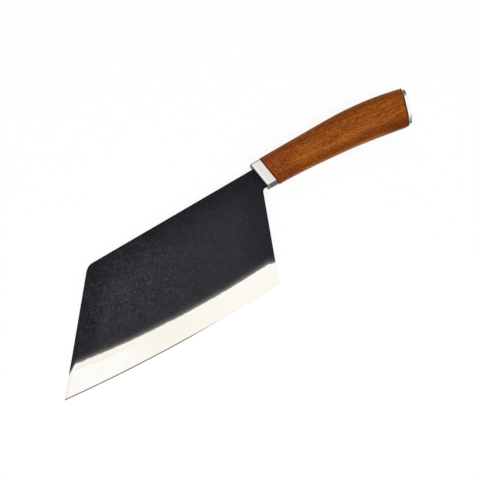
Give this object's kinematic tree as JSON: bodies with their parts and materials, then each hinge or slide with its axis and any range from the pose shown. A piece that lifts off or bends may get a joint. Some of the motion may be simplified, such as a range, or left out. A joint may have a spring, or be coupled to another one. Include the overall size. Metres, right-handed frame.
{
  "type": "cleaver",
  "caption": "Kitchen cleaver with a black forge-finished blade, a ground bevel, a slanted steel bolster and a drooping wooden handle with a steel end cap.",
  "frame": {"origin": "below the middle of the knife as it lies on its side, at the level of the handle's lowest side", "axes": "+X from the blade's tip to the butt, +Y from the cutting edge to the spine, +Z out of the blade's upper face"},
  "size_m": [0.3338, 0.0886, 0.0216],
  "materials": {
    "blade_steel": "black forge scale above, satin ground bevel below",
    "bolster_steel": "satin",
    "cap_steel": "polished",
    "inner_steel": "plain turned",
    "dark_liner": "matte",
    "handle_wood": "oiled, fine straight grain",
    "cured_adhesive": "cured, semi-gloss"
  },
  "bodies": {
    "root": {"blade": "blade_steel", "bolster": "bolster_steel", "tang_rod": "inner_steel", "front_liner": "dark_liner", "handle": "handle_wood", "tang_bedding": "cured_adhesive", "clamp_washer": "inner_steel", "clamp_nut": "inner_steel", "rear_liner": "dark_liner", "end_cap": "cap_steel", "cap_pins": "inner_steel"}
  },
  "joints": []
}
